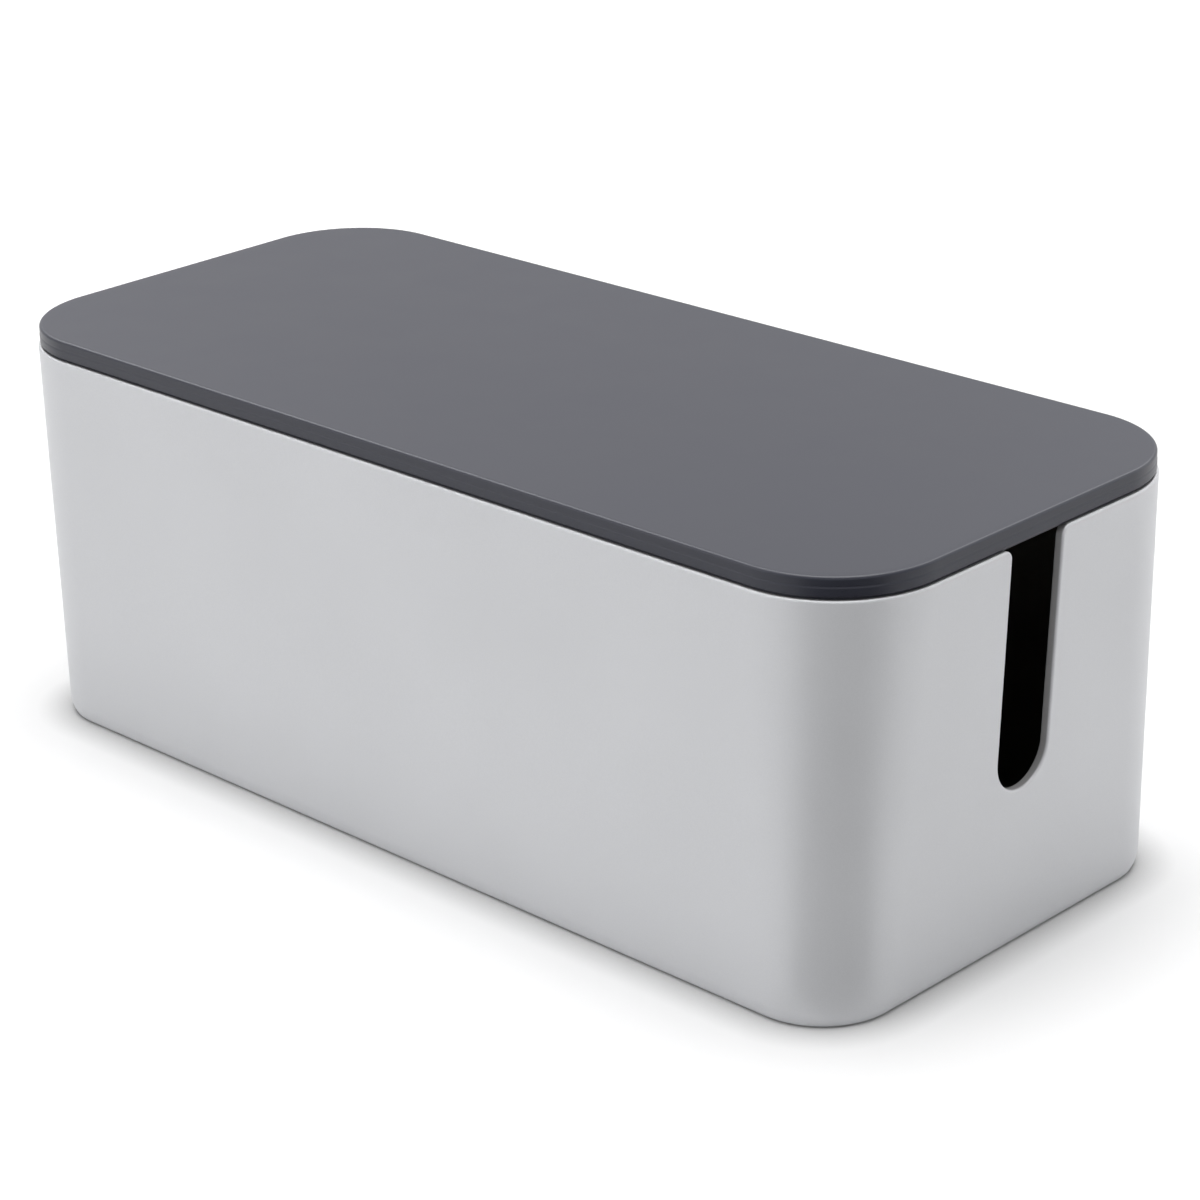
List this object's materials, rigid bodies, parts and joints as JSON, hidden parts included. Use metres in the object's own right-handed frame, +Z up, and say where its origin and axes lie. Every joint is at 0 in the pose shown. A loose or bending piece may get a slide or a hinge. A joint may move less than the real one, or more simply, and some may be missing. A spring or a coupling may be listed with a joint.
{
  "type": "cable management box",
  "caption": "Long rounded open tub with a round-ended cable slot in each end wall, closed by a loose lift-off lid and standing on rubber feet.",
  "frame": {"origin": "on the table under the middle of the box, at the bottom of the feet", "axes": "+X along the length towards the right end, -Y towards the front, +Z up"},
  "size_m": [0.38, 0.166, 0.1404],
  "materials": {
    "tub_shell": "satin silver paint outside on dark moulded ABS, bare and dark inside",
    "lid_shell": "dark grey moulded ABS with a fine matt grain",
    "foot_rubber": "matt black moulded rubber"
  },
  "bodies": {
    "tub_body": {"tub": "tub_shell", "foot_front_left": "foot_rubber", "foot_front_right": "foot_rubber", "foot_rear_left": "foot_rubber", "foot_rear_right": "foot_rubber"},
    "lid_body": {"lid": "lid_shell"}
  },
  "joints": [
    {"name": "lid_lift", "type": "slide", "parent": "tub_body", "child": "lid_body", "axis": [0, 0, 1], "range_m": [0, 0.12]}
  ]
}
